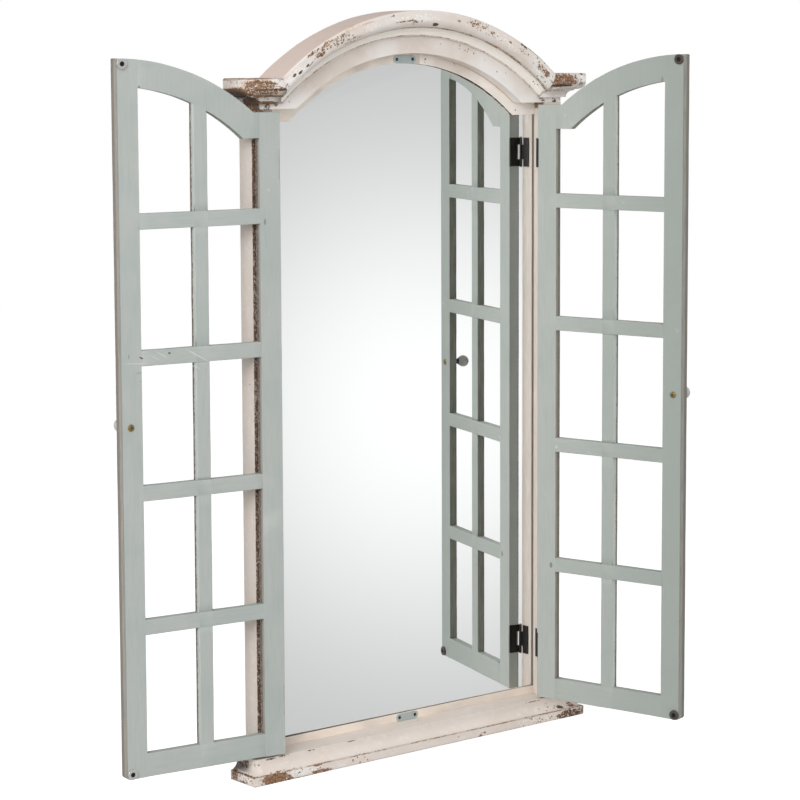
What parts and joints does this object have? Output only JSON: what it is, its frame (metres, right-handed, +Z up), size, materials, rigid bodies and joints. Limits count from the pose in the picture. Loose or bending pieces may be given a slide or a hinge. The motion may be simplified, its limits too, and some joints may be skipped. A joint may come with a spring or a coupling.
{
  "type": "wall mirror",
  "caption": "Arched wall mirror framed as a small window, with a moulded crown and sill and two hinged glazing-bar shutters that close over the glass on magnets.",
  "frame": {"origin": "midway between the two hanging holes, in the plane of the wall that the frame's back lies on", "axes": "+X to the right as seen by someone in front of the mirror, +Y into the wall, +Z up"},
  "size_m": [0.8418, 0.2983, 1.0865],
  "materials": {
    "cream_paint": "worn chalk paint, cream over brown wood",
    "sage_paint": "matt sage green paint on wood",
    "mirror": "silvered glass",
    "backing_board": "plain hardboard",
    "plain_steel": "zinc-plated steel",
    "strike_plate": "satin plated steel",
    "dark_screw": "blackened steel",
    "black_hinge": "black lacquered steel",
    "knob_grey": "smooth pale grey",
    "knob_neck": "black lacquered steel",
    "brass_screw": "dull brass",
    "magnet": "nickel-plated magnet"
  },
  "bodies": {
    "frame": {"left_jamb": "cream_paint", "right_jamb": "cream_paint", "head_board": "cream_paint", "crown_moulding": "cream_paint", "left_ear_moulding": "cream_paint", "right_ear_moulding": "cream_paint", "head_stop_left": "cream_paint", "head_stop_right": "cream_paint", "bottom_stop": "cream_paint", "bottom_rail": "cream_paint", "sill_moulding": "cream_paint", "mirror_glass": "mirror", "backing_board": "backing_board", "glazing_points": "plain_steel", "hanging_plates": "plain_steel", "hanging_plate_screws": "plain_steel", "top_strike_plate": "strike_plate", "bottom_strike_plate": "strike_plate", "strike_plate_screws": "dark_screw", "left_top_jamb_leaf": "black_hinge", "left_bottom_jamb_leaf": "black_hinge", "right_top_jamb_leaf": "black_hinge", "right_bottom_jamb_leaf": "black_hinge", "hinge_pins": "black_hinge", "jamb_hinge_screws": "black_hinge"},
    "left_shutter": {"left_hinge_stile": "sage_paint", "left_meeting_stile": "sage_paint", "left_top_rail": "sage_paint", "left_bottom_rail": "sage_paint", "left_muntin": "sage_paint", "left_cross_bar_1": "sage_paint", "left_cross_bar_2": "sage_paint", "left_cross_bar_3": "sage_paint", "left_cross_bar_4": "sage_paint", "left_top_shutter_leaf": "black_hinge", "left_bottom_shutter_leaf": "black_hinge", "left_hinge_screws": "black_hinge", "left_knob": "knob_grey", "left_knob_neck": "knob_neck", "left_knob_screw": "brass_screw", "left_magnets": "magnet", "left_magnet_screws": "dark_screw"},
    "right_shutter": {"right_hinge_stile": "sage_paint", "right_meeting_stile": "sage_paint", "right_top_rail": "sage_paint", "right_bottom_rail": "sage_paint", "right_muntin": "sage_paint", "right_cross_bar_1": "sage_paint", "right_cross_bar_2": "sage_paint", "right_cross_bar_3": "sage_paint", "right_cross_bar_4": "sage_paint", "right_top_shutter_leaf": "black_hinge", "right_bottom_shutter_leaf": "black_hinge", "right_hinge_screws": "black_hinge", "right_knob": "knob_grey", "right_knob_neck": "knob_neck", "right_knob_screw": "brass_screw", "right_magnets": "magnet", "right_magnet_screws": "dark_screw"}
  },
  "joints": [
    {"name": "left_hinges", "type": "hinge", "parent": "frame", "child": "left_shutter", "pos_m": [-0.253, -0.0321, 0], "axis": [0, 0, -1], "range_deg": [-186.7, 0.3]},
    {"name": "right_hinges", "type": "hinge", "parent": "frame", "child": "right_shutter", "pos_m": [0.253, -0.0321, 0], "axis": [0, 0, 1], "range_deg": [-105, 82]}
  ]
}
